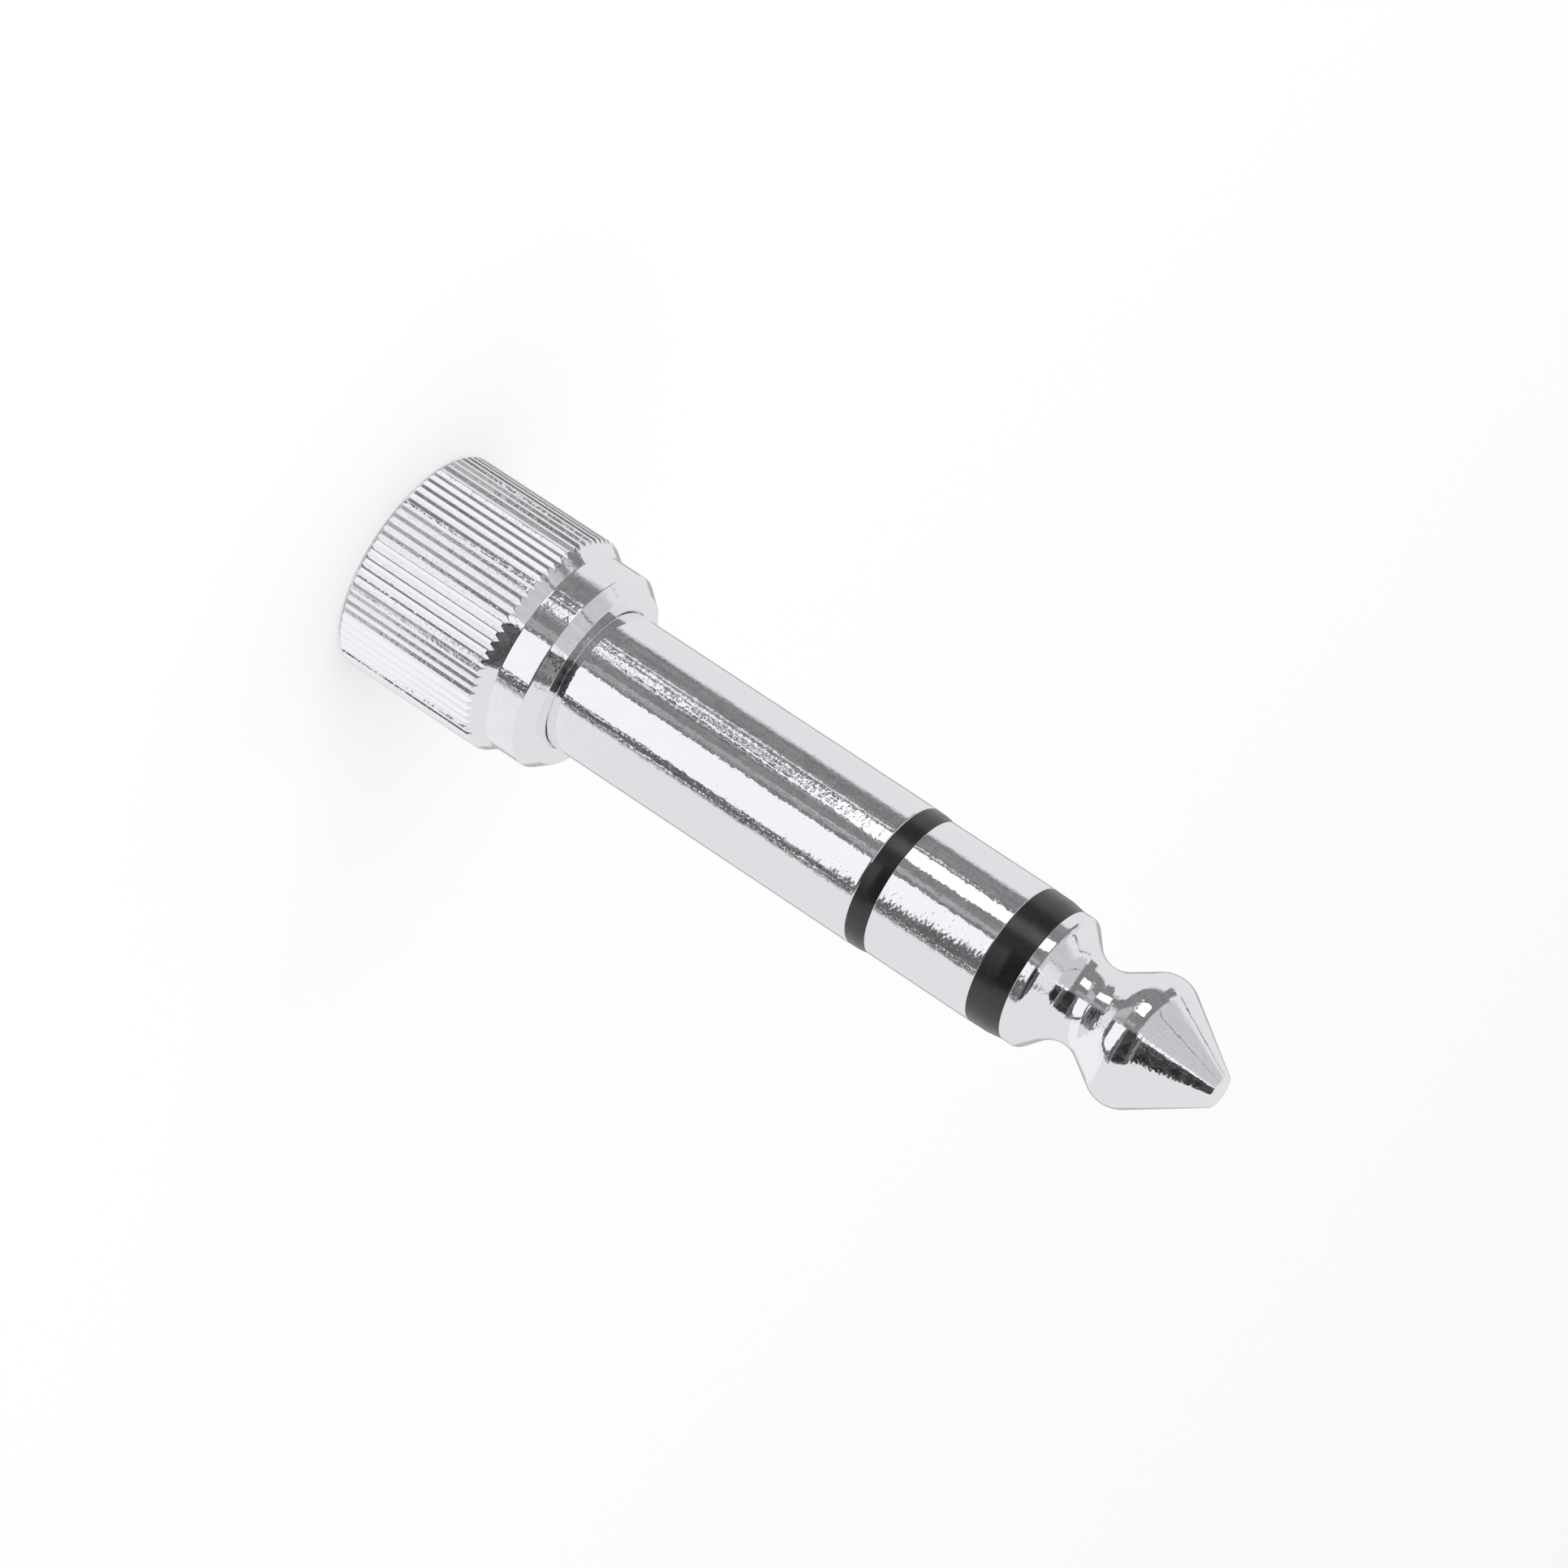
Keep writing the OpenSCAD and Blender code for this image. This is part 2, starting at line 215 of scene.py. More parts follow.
def finish_mesh(piece, sharp=math.radians(40)):
    for face in piece.data.polygons:
        face.use_smooth = True
    piece.data.set_sharp_from_angle(angle=sharp)
    print(piece.name, len(piece.data.polygons), "faces")


def stands_for(piece, node):
    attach(piece, BODY)
    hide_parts(node)


# %% [markdown]
# The shank, the ring contact and the two black rings are plain turned or moulded rings. On the
# real plug they are pushed over one another, so each runs back inside the next as a tube.
# A black ring joins two metal pieces of slightly different radius. Its face lies a hair under
# the metal, stays almost straight at first and then eases down, so its sheen has no hard edge.

# %% Shank, ring contact and black rings
EDGE = 0.03
rod_r = 0.75
fit = 0.03
tube_wall = 0.4
front_tube_in = rod_r + fit
front_tube_out = front_tube_in + tube_wall
ring_tube_in = front_tube_out + fit
ring_tube_out = ring_tube_in + tube_wall
rear_tube_in = ring_tube_out + fit
rear_tube_out = rear_tube_in + tube_wall
sleeve_bore_r = rear_tube_out + fit
cavity_r = shank_r - 0.42

face_bevel = 0.12
shoulder = collar_front - face_bevel
spigot_r = 3.0
shank = lathe("shank", [
    (spigot_r, thread_len, EDGE),
    (spigot_r, shoulder, EDGE),
    (shank_r, shoulder, EDGE),
    (shank_r, sleeve_front, 0.1),
    (sleeve_bore_r, sleeve_front, EDGE),
    (sleeve_bore_r, cavity_end, EDGE),
    (cavity_r, cavity_end, EDGE),
    (cavity_r, thread_len, EDGE),
])
stands_for(shank, "plug_sleeve")

flare_r = ring_tube_out + 0.18
neck_r = ring_tube_out - 0.15
spring_rear = tube_rear + 0.15
spring_front = spring_rear + 0.2
ring_band = lathe("ring_band", [
    (ring_tube_in, tube_rear, EDGE),
    (flare_r, tube_rear, 0.06),
    (flare_r, spring_rear, EDGE),
    (neck_r, spring_rear, EDGE),
    (neck_r, spring_front, EDGE),
    (ring_tube_out, spring_front, EDGE),
    (ring_tube_out, band_rear, EDGE),
    (band_r, band_rear, EDGE),
    (band_r, band_front, EDGE),
    (ring_tube_in, band_front, EDGE),
])
stands_for(ring_band, "ring_contact")

ring_inset = 0.015
ring_ease_drop = 0.012
ring_ease_at = 0.55
ring_ease_round = 1.5


def black_ring(name, node, rear_r, front_r, tube_r, bore_r, rear, ring_rear, front):
    ease_z = ring_rear + ring_ease_at * (front - ring_rear)
    piece = lathe(name, [
        (bore_r, rear, EDGE),
        (tube_r, rear, EDGE),
        (tube_r, ring_rear, EDGE),
        (rear_r - ring_inset, ring_rear, EDGE),
        (rear_r - ring_inset - ring_ease_drop, ease_z, ring_ease_round),
        (front_r - ring_inset, front, EDGE),
        (bore_r, front, EDGE),
    ])
    stands_for(piece, node)
    return piece


rear_black_ring = black_ring(
    "rear_black_ring", "rear_insulator", shank_r, band_r, rear_tube_out, rear_tube_in,
    cavity_end, sleeve_front, band_rear)
front_black_ring = black_ring(
    "front_black_ring", "front_insulator", band_r, tip_base_r, front_tube_out, front_tube_in,
    tube_rear, band_front, tip_rear)

# %% [markdown]
# The tip is turned with its rod in one piece. Its outline is a base, a groove that the socket's
# spring drops into, a head and a blunt nose cone. Straight slopes meet in corners, and each
# corner is rounded, the groove and the head by large arcs that are seen as soft curves.

# %% Tip
tip_base_len = 0.55
base_corner = tip_rear + tip_base_len
groove_fall = math.tan(math.radians(47.5))
head_rise = math.tan(math.radians(32.5))
nose_r = 0.7
nose_len = 3.75
head_corner_r = nose_r + nose_len * math.tan(math.radians(33.7))
head_corner = tip_front - nose_len
slope_gap = tip_base_r - head_corner_r + head_rise * (head_corner - base_corner)
groove_step = slope_gap / (groove_fall + head_rise)
rivet_rear = tube_rear - 0.9
base_round, groove_round, head_round, nose_round = 0.35, 1.35, 1.4, 0.24

tip = lathe("tip", [
    (0, rivet_rear, 0),
    (rod_r + 0.18, rivet_rear, 0.12),
    (rod_r + 0.18, rivet_rear + 0.3, EDGE),
    (rod_r - 0.15, rivet_rear + 0.3, EDGE),
    (rod_r - 0.15, rivet_rear + 0.5, EDGE),
    (rod_r, rivet_rear + 0.5, EDGE),
    (rod_r, tip_rear, EDGE),
    (tip_base_r, tip_rear, EDGE),
    (tip_base_r, base_corner, base_round),
    (tip_base_r - groove_fall * groove_step, base_corner + groove_step, groove_round),
    (head_corner_r, head_corner, head_round),
    (nose_r, tip_front, nose_round),
    (0, tip_front, 0),
], steps=8)
stands_for(tip, "tip_contact")

# %% [markdown]
# The collar is a pattern that repeats, so Geometry Nodes make it. One slice, as wide as one
# ridge of the knurl, holds the whole section of the collar: rear face, ridge, bevels, neck,
# front face and bore. Each column of the slice meets the bevel at its own height, so the
# grooves run out in a clean zigzag. Their flanks meet at about a right angle, which sends most
# light back to where it came from. That is why a knurl in front of a soft box looks white.

# %% One slice of the collar
ridges = 72
knurl_depth = 0.136
knurl_len = 6.68
rear_bevel = 0.18
neck_r_out = 4.5
grip_front = 7.34
neck_front = 8.77
face_r = 4.0
thread_root_r = 2.75
mouth_r = thread_root_r - 0.27
pitch = 2 * math.pi / ridges
land = 0.38
land_round = 0.03
ridge_end_round, groove_end_round = 0.15, 0.02
seam_gap = 0.06


def ridge_section():
    """Angle and radius across one ridge, from the groove that faces the camera to the next."""
    half = pitch / 2 * collar_r
    flat = half * land
    root = collar_r - knurl_depth
    corners = [
        (-half, root, 0), (-flat, collar_r, land_round), (flat, collar_r, land_round), (half, root, 0),
    ]
    flank_points = outline(corners, steps=2)
    return [(p.x / collar_r + pitch / 2, p.y) for p in flank_points]


def column_section(r):
    """The collar's section at a place across the ridge whose radius is r."""
    drop = collar_r - r
    rear_z = max(rear_bevel - drop, 0.006)
    front_z = knurl_len + drop * (grip_front - knurl_len) / (collar_r - neck_r_out)
    recess_r = shank_r + 0.01
    crest_round = ridge_end_round - (ridge_end_round - groove_end_round) * drop / knurl_depth
    return outline([
        (thread_root_r + 0.15, 0, EDGE),
        (min(collar_r - rear_bevel, r - 0.006), 0, 0.002),
        (r, rear_z, 0.002),
        (r, front_z, crest_round),
        (neck_r_out, grip_front, 0.10),
        (neck_r_out, neck_front, 0.10),
        (face_r, collar_front, 0.05),
        (recess_r + seam_gap, collar_front, 0.02),
        (recess_r + seam_gap / 2, shoulder, 0.01),
        (spigot_r + 0.01, shoulder, EDGE),
        (spigot_r + 0.01, thread_len, EDGE),
        (thread_root_r, thread_len, EDGE),
        (thread_root_r, 0.15, EDGE),
    ], steps=4)


def collar_slice():
    mesh = bmesh.new()
    columns = []
    for angle, r in ridge_section():
        columns.append([
            mesh.verts.new((p.x * MM * math.sin(angle), -p.x * MM * math.cos(angle), p.y * MM))
            for p in column_section(r)
        ])
    for left, near in zip(columns, columns[1:]):
        for i in range(len(left)):
            n = (i + 1) % len(left)
            mesh.faces.new((left[i], near[i], near[n], left[n]))
    data = bpy.data.meshes.new("collar_slice")
    mesh.to_mesh(data)
    mesh.free()
    piece = bpy.data.objects.new("collar", data)
    bpy.context.scene.collection.objects.link(piece)
    print("slice", len(data.polygons), "faces")
    return piece


collar = collar_slice()

# %% [markdown]
# The tree needs three things: how many slices there are, how near two points must lie to be
# one, and the metal. It ends in Realize Instances and Set Material, so that the result is
# plain geometry, which is then kept as the piece's own mesh.

# %% Slices turned round the axis
metal_collar = bpy.data.materials.new("plated_collar")
metal_contact = bpy.data.materials.new("plated_contact")
black_plastic = bpy.data.materials.new("black_insulator")


def new_tree(name, inputs):
    tree = bpy.data.node_groups.new(name, "GeometryNodeTree")
    tree.interface.new_socket("Geometry", in_out="INPUT", socket_type="NodeSocketGeometry")
    for label, kind, value in inputs:
        socket = tree.interface.new_socket(label, in_out="INPUT", socket_type=kind)
        if value is not None:
            socket.default_value = value
    tree.interface.new_socket("Geometry", in_out="OUTPUT", socket_type="NodeSocketGeometry")
    return tree


def ring_tree():
    tree = new_tree("ring_of_slices", [
        ("Count", "NodeSocketInt", 8),
        ("Weld", "NodeSocketFloat", 0.0),
        ("Metal", "NodeSocketMaterial", None),
    ])
    node, link = tree.nodes.new, tree.links.new
    given = node("NodeGroupInput")
    points = node("GeometryNodePoints")
    index = node("GeometryNodeInputIndex")
    step = node("ShaderNodeMath")
    step.operation = "DIVIDE"
    step.inputs[0].default_value = 2 * math.pi
    angle = node("ShaderNodeMath")
    angle.operation = "MULTIPLY"
    spin = node("ShaderNodeCombineXYZ")
    place = node("GeometryNodeInstanceOnPoints")
    real = node("GeometryNodeRealizeInstances")
    weld = node("GeometryNodeMergeByDistance")
    metal = node("GeometryNodeSetMaterial")
    out = node("NodeGroupOutput")
    link(given.outputs["Count"], points.inputs["Count"])
    link(given.outputs["Count"], step.inputs[1])
    link(step.outputs[0], angle.inputs[0])
    link(index.outputs[0], angle.inputs[1])
    link(angle.outputs[0], spin.inputs["Z"])
    link(points.outputs[0], place.inputs["Points"])
    link(given.outputs["Geometry"], place.inputs["Instance"])
    link(spin.outputs[0], place.inputs["Rotation"])
    link(place.outputs[0], real.inputs[0])
    link(real.outputs[0], weld.inputs["Geometry"])
    link(given.outputs["Weld"], weld.inputs["Distance"])
    link(weld.outputs[0], metal.inputs["Geometry"])
    link(given.outputs["Metal"], metal.inputs["Material"])
    link(metal.outputs[0], out.inputs[0])
    return tree


def bake_tree(piece, tree, values):
    """Runs the tree on the piece with these inputs, and keeps the result as its mesh."""
    modifier = piece.modifiers.new(tree.name, "NODES")
    modifier.node_group = tree
    for item in tree.interface.items_tree:
        if item.item_type == "SOCKET" and item.name in values:
            modifier[item.identifier] = values[item.name]
    view = bpy.context.evaluated_depsgraph_get()
    made = bpy.data.meshes.new_from_object(piece.evaluated_get(view))
    piece.modifiers.clear()
    piece.data = made
    made.name = piece.name
    finish_mesh(piece)


bake_tree(collar, ring_tree(), {"Count": ridges, "Weld": 0.0005 * MM, "Metal": metal_collar})
stands_for(collar, "knurled_collar")

# %% [markdown]
# The thread in the mouth is a ridge that follows a helix. A second tree sweeps a small
# triangle along a spiral curve: its inputs are the helix's radius, pitch and length.

# %% Thread in the screw mouth
def thread_tree():
    tree = new_tree("thread", [
        ("Radius", "NodeSocketFloat", 1.0),
        ("Turns", "NodeSocketFloat", 1.0),
        ("Length", "NodeSocketFloat", 1.0),
        ("Depth", "NodeSocketFloat", 1.0),
        ("Metal", "NodeSocketMaterial", None),
    ])
    node, link = tree.nodes.new, tree.links.new
    given = node("NodeGroupInput")
    helix = node("GeometryNodeCurveSpiral")
    helix.inputs["Resolution"].default_value = 72
    section = node("GeometryNodeCurvePrimitiveCircle")
    section.inputs["Resolution"].default_value = 3
    sweep = node("GeometryNodeCurveToMesh")
    sweep.inputs["Fill Caps"].default_value = True
    real = node("GeometryNodeRealizeInstances")
    metal = node("GeometryNodeSetMaterial")
    out = node("NodeGroupOutput")
    link(given.outputs["Radius"], helix.inputs["Start Radius"])
    link(given.outputs["Radius"], helix.inputs["End Radius"])
    link(given.outputs["Turns"], helix.inputs["Rotations"])
    link(given.outputs["Length"], helix.inputs["Height"])
    link(given.outputs["Depth"], section.inputs["Radius"])
    link(helix.outputs[0], sweep.inputs["Curve"])
    link(section.outputs[0], sweep.inputs["Profile Curve"])
    link(sweep.outputs[0], real.inputs[0])
    link(real.outputs[0], metal.inputs["Geometry"])
    link(given.outputs["Metal"], metal.inputs["Material"])
    link(metal.outputs[0], out.inputs[0])
    return tree


thread_pitch = 0.5
thread_start = 0.45
thread_end_gap = 0.4
thread_ridge = 0.18
thread_run = thread_len - thread_end_gap - thread_start
thread = bpy.data.objects.new("mouth_thread", bpy.data.meshes.new("mouth_thread"))
bpy.context.scene.collection.objects.link(thread)
bake_tree(thread, thread_tree(), {
    "Radius": (thread_root_r - thread_ridge / 2) * MM,
    "Turns": thread_run / thread_pitch,
    "Length": thread_run * MM,
    "Depth": thread_ridge * MM,
    "Metal": metal_collar,
})
thread.data.transform(Matrix.Translation((0, 0, thread_start * MM)))
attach(thread, BODY)

# %% [markdown]
# Bright nickel plate is a mirror that is never quite flat. Close up it has a slow ripple, like
# orange peel, a finer grain and scattered specks, and all three break up the edge of each
# reflection. The three amounts are heights in micrometres. Fingers leave a thin film as well,
# which the group puts out as Clean: 1 is bare metal, and a little less is a smear.
# One group makes all this from noise in the object's own space, so every plated piece shares it.

# %% Plating grain, shared by the plated pieces
MICRON = 0.001 * MM


def shader_group(name, inputs, outputs):
    group = bpy.data.node_groups.new(name, "ShaderNodeTree")
    for label, value in inputs:
        socket = group.interface.new_socket(label, in_out="INPUT", socket_type="NodeSocketFloat")
        socket.default_value = value
    for label, kind in outputs:
        group.interface.new_socket(label, in_out="OUTPUT", socket_type=kind)
    return group, group.nodes.new("NodeGroupInput"), group.nodes.new("NodeGroupOutput")


def noise_at(tree, space, scale, detail):
    texture = tree.nodes.new("ShaderNodeTexNoise")
    texture.inputs["Scale"].default_value = scale
    texture.inputs["Detail"].default_value = detail
    tree.links.new(space, texture.inputs["Vector"])
    return texture


def math_node(tree, operation, a, b=None):
    node = tree.nodes.new("ShaderNodeMath")
    node.operation = operation
    for socket, value in zip(node.inputs, (a, b)):
        if value is None:
            continue
        if isinstance(value, (int, float)):
            socket.default_value = value
        else:
            tree.links.new(value, socket)
    return node.outputs[0]


def soft_step(tree, value, edge, soft, rising):
    node = tree.nodes.new("ShaderNodeMapRange")
    node.interpolation_type = "SMOOTHSTEP"
    tree.links.new(value, node.inputs["Value"])
    node.inputs["From Min"].default_value = edge - soft / 2
    node.inputs["From Max"].default_value = edge + soft / 2
    node.inputs["To Min"].default_value = 0 if rising else 1
    node.inputs["To Max"].default_value = 1 if rising else 0
    return node.outputs[0]


def map_range(tree, value, low, high):
    node = tree.nodes.new("ShaderNodeMapRange")
    tree.links.new(value, node.inputs["Value"])
    node.inputs["To Min"].default_value = low
    node.inputs["To Max"].default_value = high
    return node.outputs[0]


def plating_group():
    group, given, out = shader_group(
        "plating_grain",
        [("Ripple", 1.0), ("Grain", 1.0), ("Specks", 1.0)],
        [("Cloud", "NodeSocketFloat"), ("Clean", "NodeSocketFloat"), ("Normal", "NodeSocketVector")],
    )
    space = group.nodes.new("ShaderNodeTexCoord").outputs["Object"]
    ripple = noise_at(group, space, 1800, 1.0)
    grain = noise_at(group, space, 7000, 0.5)
    speck_noise = noise_at(group, space, 9000, 0.0)
    cloud = noise_at(group, space, 900, 3.0)
    smear = noise_at(group, space, 1500, 3.0)
    smear.inputs["Distortion"].default_value = 1.5
    clean = soft_step(group, smear.outputs["Fac"], 0.5, 0.3, False)
    clean = map_range(group, clean, 0.94, 1.0)
    specks = soft_step(group, speck_noise.outputs["Fac"], 0.72, 0.12, True)
    height = math_node(group, "MULTIPLY", ripple.outputs["Fac"], given.outputs["Ripple"])
    for layer, amount in ((grain.outputs["Fac"], "Grain"), (specks, "Specks")):
        share = math_node(group, "MULTIPLY", layer, given.outputs[amount])
        height = math_node(group, "ADD", height, share)
    bump = group.nodes.new("ShaderNodeBump")
    bump.inputs["Distance"].default_value = MICRON
    group.links.new(height, bump.inputs["Height"])
    group.links.new(cloud.outputs["Fac"], out.inputs["Cloud"])
    group.links.new(clean, out.inputs["Clean"])
    group.links.new(bump.outputs[0], out.inputs["Normal"])
    return group


plating = plating_group()
print("groups:", [g.name for g in bpy.data.node_groups])


# %% [markdown]
# Each metal keeps its own Principled shader. The plate is slightly cool and pale, and its
# roughness drifts a little from place to place, as it does where fingers have been.

# %% Plated metals
def mix_color(tree, factor, a, b):
    node = tree.nodes.new("ShaderNodeMix")
    node.data_type = "RGBA"
    tree.links.new(factor, node.inputs["Factor"])
    node.inputs["A"].default_value = (*a, 1)
    node.inputs["B"].default_value = (*b, 1)
    return node.outputs["Result"]


def plated(material, ripple, grain, specks, dark, light, rough):
    material.use_nodes = True
    tree = material.node_tree
    shader = tree.nodes["Principled BSDF"]
    use = tree.nodes.new("ShaderNodeGroup")
    use.node_tree = plating
    for name, value in (("Ripple", ripple), ("Grain", grain), ("Specks", specks)):
        use.inputs[name].default_value = value
    tree.links.new(use.outputs["Clean"], shader.inputs["Metallic"])
    tree.links.new(mix_color(tree, use.outputs["Cloud"], dark, light), shader.inputs["Base Color"])
    tree.links.new(map_range(tree, use.outputs["Cloud"], *rough), shader.inputs["Roughness"])
    tree.links.new(use.outputs["Normal"], shader.inputs["Normal"])


plate_colours = (0.92, 0.92, 0.93), (0.95, 0.95, 0.96)
plate_rough = (0.02, 0.05)
plated(metal_contact, 6.0, 2.7, 0.8, *plate_colours, plate_rough)
plated(metal_collar, 4.0, 2.0, 0.8, *plate_colours, plate_rough)
print("plated:", metal_contact.name, metal_collar.name)

# %% [markdown]
# The black rings are moulded plastic with a soft sheen. Fine noise in the roughness and a weak
# bump make the highlight soft and even. The plastic is glossier than most, so its shader gets a
# higher specular level than the usual one.

# %% Black plastic
def plastic(material, dark, light, rough, scale, depth):
    material.use_nodes = True
    tree = material.node_tree
    shader = tree.nodes["Principled BSDF"]
    space = tree.nodes.new("ShaderNodeTexCoord").outputs["Object"]
    noise = noise_at(tree, space, scale, 4.0)
    tree.links.new(mix_color(tree, noise.outputs["Fac"], dark, light), shader.inputs["Base Color"])
    tree.links.new(map_range(tree, noise.outputs["Fac"], *rough), shader.inputs["Roughness"])
    bump = tree.nodes.new("ShaderNodeBump")
    bump.inputs["Distance"].default_value = depth * MM
    tree.links.new(noise.outputs["Fac"], bump.inputs["Height"])
    tree.links.new(bump.outputs[0], shader.inputs["Normal"])


plastic(black_plastic, (0.007, 0.007, 0.008), (0.017, 0.017, 0.019), (0.18, 0.32), 5000, 0.0008)
sheen = black_plastic.node_tree.nodes["Principled BSDF"]
sheen.inputs["Specular IOR Level"].default_value = 0.75
for piece, material in (
    (shank, metal_contact), (ring_band, metal_contact), (tip, metal_contact),
    (rear_black_ring, black_plastic), (front_black_ring, black_plastic),
):
    piece.data.materials.clear()
    piece.data.materials.append(material)
print("black plastic:", rear_black_ring.name, front_black_ring.name)

# %% [markdown]
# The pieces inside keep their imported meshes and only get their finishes: turned brass for the
# bush, bronze sheet for the springs, natural nylon for the carrier and board for the washers.

# %% Pieces inside
inner = {
    "socket_bush": ("bare_brass", (0.62, 0.42, 0.17), (0.76, 0.56, 0.26), (0.18, 0.32), 1.0),
    "ring_spring": ("spring_bronze", (0.52, 0.31, 0.14), (0.66, 0.43, 0.22), (0.22, 0.38), 1.0),
    "contact_carrier": ("carrier_plastic", (0.62, 0.60, 0.53), (0.72, 0.70, 0.63), (0.45, 0.6), 0.0),
    "spring_washer": ("washer_board", (0.18, 0.08, 0.035), (0.28, 0.13, 0.06), (0.6, 0.8), 0.0),
}
same_finish = {"tip_spring": "ring_spring", "sleeve_washer": "spring_washer"}
finishes = {}
for node, (name, dark, light, rough, metallic) in inner.items():
    material = bpy.data.materials.new(name)
    plastic(material, dark, light, rough, 4000, 0.002)
    material.node_tree.nodes["Principled BSDF"].inputs["Metallic"].default_value = metallic
    finishes[node] = material
for node in list(inner) + list(same_finish):
    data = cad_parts[node].data
    data.materials.clear()
    data.materials.append(finishes[same_finish.get(node, node)])
print("finishes inside:", sorted(finishes))

# %% [markdown]
# Bright metal shows its surroundings and hardly anything else, so the studio is the finish.
# The tent is a large ball round the adapter that only reflections see. It is pale all round,
# with a dark opening towards the camera and two soft boxes in that opening.

# %% Tent
TENT_R = 160
TENT_Z = 20


def tent_mesh():
    mesh = bmesh.new()
    bmesh.ops.create_uvsphere(mesh, u_segments=96, v_segments=64, radius=TENT_R * MM)
    bmesh.ops.translate(mesh, verts=mesh.verts, vec=(0, 0, TENT_Z * MM))
    bmesh.ops.reverse_faces(mesh, faces=mesh.faces)
    data = bpy.data.meshes.new("light_tent")
    mesh.to_mesh(data)
    mesh.free()
    tent = bpy.data.objects.new("light_tent", data)
    bpy.context.scene.collection.objects.link(tent)
    tent.visible_camera = False
    tent.visible_diffuse = False
    tent.visible_shadow = False
    tent.visible_transmission = False
    return tent


tent = tent_mesh()
print("tent", len(tent.data.polygons), "faces,", TENT_R, "mm radius")

# %% [markdown]
# The tent's brightness is a function of two angles: the bearing round the axis, which is 0
# towards the camera and positive to its right, and the height above the middle of the
# adapter. Each panel is a rectangle in these two with soft edges, laid over those before it.
# What a surface mirrors depends on its slope. Seen from the camera, the knurl and the shank show
# the tent from 28 to 17 degrees below the middle, the bevels what lies 41 and 49 above, and the
# nose cone what lies higher still. A torn panel is broken into spots, which make the specks.

# %% Tent panels
PALE = (0.78, 0.785, 0.80)
LIGHT = (0.57, 0.575, 0.59)
GREY = (0.215, 0.215, 0.225)
DARK = (0.125, 0.125, 0.13)
BLACK = (0.028, 0.028, 0.03)
WHITE = (0.96, 0.96, 1.0)
panels = [
    # name, bearing (from, soft, to, soft), height (from, soft, to, soft),
    # slope of the top, torn from this noise value up, colour, share that the folds vary it
    ("back wall on the right", (157, 5, 400, 1), (-80, 10, 12, 4),
     0, 0, (0.48, 0.48, 0.49), 0.05),
    ("back wall on the left", (-400, 1, -158, 6), (-80, 10, 12, 4),
     0, 0, (0.45, 0.45, 0.46), 0.05),
    ("white floor", (58, 8, 150, 10), (-90, 1, -25, 5),
     0, 0, (0.91, 0.91, 0.94), 0),
    ("sky beside the opening", (-100, 12, -4, 4), (30, 6, 74, 8),
     0, 0, LIGHT, 0.1),
    ("side", (-87, 10, -3, 4), (-75, 6, 30, 6),
     0, 0, GREY, 0.35),
    ("side near the floor", (-40, 8, -3, 4), (-75, 6, -27, 1.5),
     0, 0, (0.46, 0.46, 0.47), 0.35),
    ("side's far part", (-106, 2, -80, 8), (4, 6, 24, 4),
     0, 0, GREY, 0.2),
    ("reflector", (-16, 3, -9, 3), (-75, 6, 10, 8),
     0, 0, (0.36, 0.36, 0.37), 0.35),
    ("opening's right edge", (-4, 3, 58, 7), (-75, 6, -2, 5),
     0, 0, DARK, 0.45),
    ("white floor on the right", (54, 3, 70, 8), (-90, 1, -26, 2),
     0, 0, (0.85, 0.85, 0.88), 0.1),
    ("opening", (-4, 3, 52, 4), (-2, 5, 36, 5),
     0, 0, BLACK, 0.2),
    ("middle of the opening", (-4, 3, 52, 4), (34, 4, 45, 3),
     0, 0, (0.075, 0.075, 0.08), 0.6),
    ("beam over the opening", (-4, 5, 46, 4), (44.5, 3, 51, 0.8),
     0, 0, (0.19, 0.19, 0.195), 0.9),
    ("top of the opening", (-2, 3, 54, 4), (51, 0.8, 74, 5),
     0, 0, (0.026, 0.026, 0.028), 0.5),
    ("streaks over the opening", (-2, 2, 16, 8), (51, 0.8, 74, 5),
     0, 0.5, (0.1, 0.1, 0.105), 0.5),
    ("gap over the opening", (-8, 2, -1, 2), (34, 4, 45, 3),
     0, 0, WHITE, 0),
    ("upper gap", (-7, 2, 0, 2), (50, 4, 78, 4),
     0, 0, WHITE, 0),
    ("seam", (-62, 1.2, -60, 1.2), (30, 6, 74, 6),
     0, 0, GREY, 0),
    ("far seam", (-116, 1.2, -113.5, 1.2), (26, 4, 50, 6),
     0, 0, GREY, 0),
    ("fringe of the left soft box", (-52, 3, -31, 8), (-25.3, 1, -16, 1),
     0, 0.5, WHITE, 0),
    ("lower fringe", (-53, 4, -34, 4), (-32, 2, -25.3, 1),
     0, 0.64, WHITE, 0),
    ("sparks in the right edge", (43, 2, 56, 3), (-30, 2, -12, 2),
     0, 0.65, WHITE, 0),
    ("edge light", (-58, 1, -55.5, 1), (-25, 2, -15, 2),
     0, 0, (0.8, 0.8, 0.82), 0),
    ("left soft box", (-52, 2, -32, 2), (-17.3, 1, 14, 3),
     0, 0, (1.5, 1.5, 1.56), 0),
    ("main soft box", (-3.5, 1.5, 42, 2), (-54, 4, -8.6, 1.5),
     0.2, 0, WHITE, 0),
    ("its lower corner", (38, 2, 47, 2), (-54, 4, -26, 1.5),
     0, 0, WHITE, 0),
]


